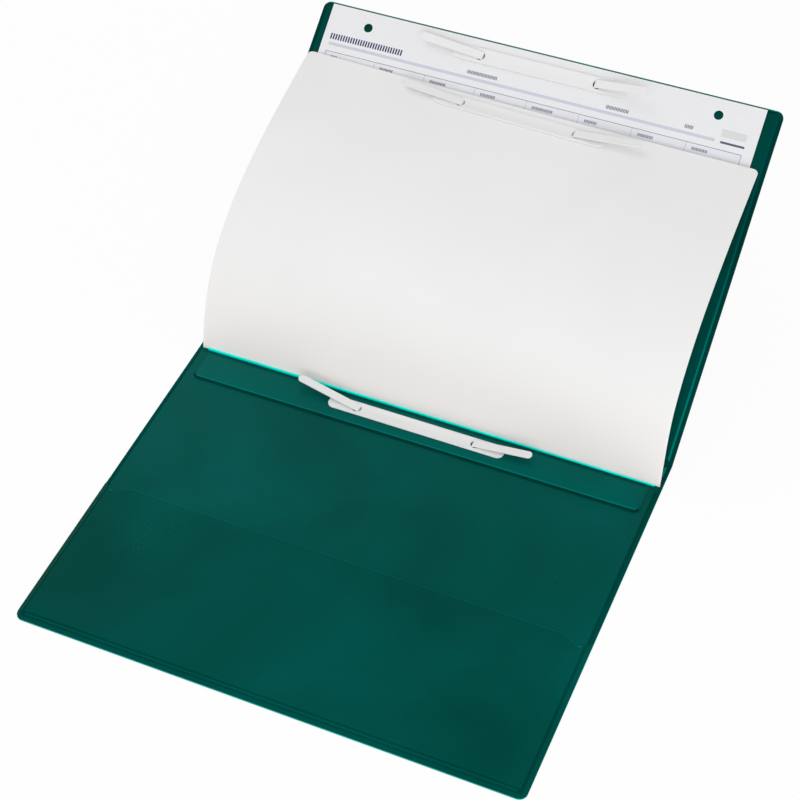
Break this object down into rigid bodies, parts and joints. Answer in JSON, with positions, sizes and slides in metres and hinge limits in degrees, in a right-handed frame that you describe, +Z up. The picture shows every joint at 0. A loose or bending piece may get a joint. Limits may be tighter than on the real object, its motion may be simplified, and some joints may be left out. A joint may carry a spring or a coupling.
{
  "type": "patient record folder",
  "caption": "Landscape A4 record folder of welded green plastic film over stiff boards, with a film-hinged spine, divider leaf, pocket and filing fasteners.",
  "frame": {"origin": "centre of the lower cover's underside, on the table", "axes": "+X along the hinges, +Y from the reader towards the upper cover, +Z up from the table"},
  "size_m": [0.315, 0.4457, 0.1384],
  "materials": {
    "green_film": "satin embossed vinyl film",
    "clear_green_film": "smooth translucent vinyl film",
    "bright_green_film": "edge-lit vinyl weld",
    "grey_board": "bare grey board",
    "leaf_film": "satin white film",
    "paper": "plain office paper with a pale printed form",
    "white_plastic": "satin moulded plastic"
  },
  "bodies": {
    "lower_cover": {"lower_outer_film": "green_film", "lower_board": "grey_board", "lower_inner_film": "green_film", "pocket_film": "clear_green_film", "filing_strip_film": "clear_green_film", "lower_fastener_strip": "white_plastic", "lower_fastener_bar": "white_plastic"},
    "spine": {"spine_outer_film": "green_film", "spine_board": "grey_board", "spine_inner_film": "green_film", "leaf_weld_bead": "bright_green_film", "divider_leaf": "leaf_film"},
    "upper_cover": {"upper_outer_film": "green_film", "upper_board": "grey_board", "upper_inner_film": "green_film", "form_sheet": "paper", "upper_fastener_strip": "white_plastic", "upper_fastener_bar": "white_plastic", "leaf_fastener_strip": "white_plastic", "leaf_fastener_bar": "white_plastic"}
  },
  "joints": [
    {"name": "spine_hinge", "type": "hinge", "parent": "lower_cover", "child": "spine", "pos_m": [0, 0.11615, 0.00057], "axis": [1, 0, 0], "range_deg": [0, 90]},
    {"name": "upper_hinge", "type": "hinge", "parent": "spine", "child": "upper_cover", "pos_m": [0, 0.13715, 0.00057], "axis": [1, 0, 0], "range_deg": [-34.2, 55.8], "deforming": ["divider_leaf"]}
  ]
}
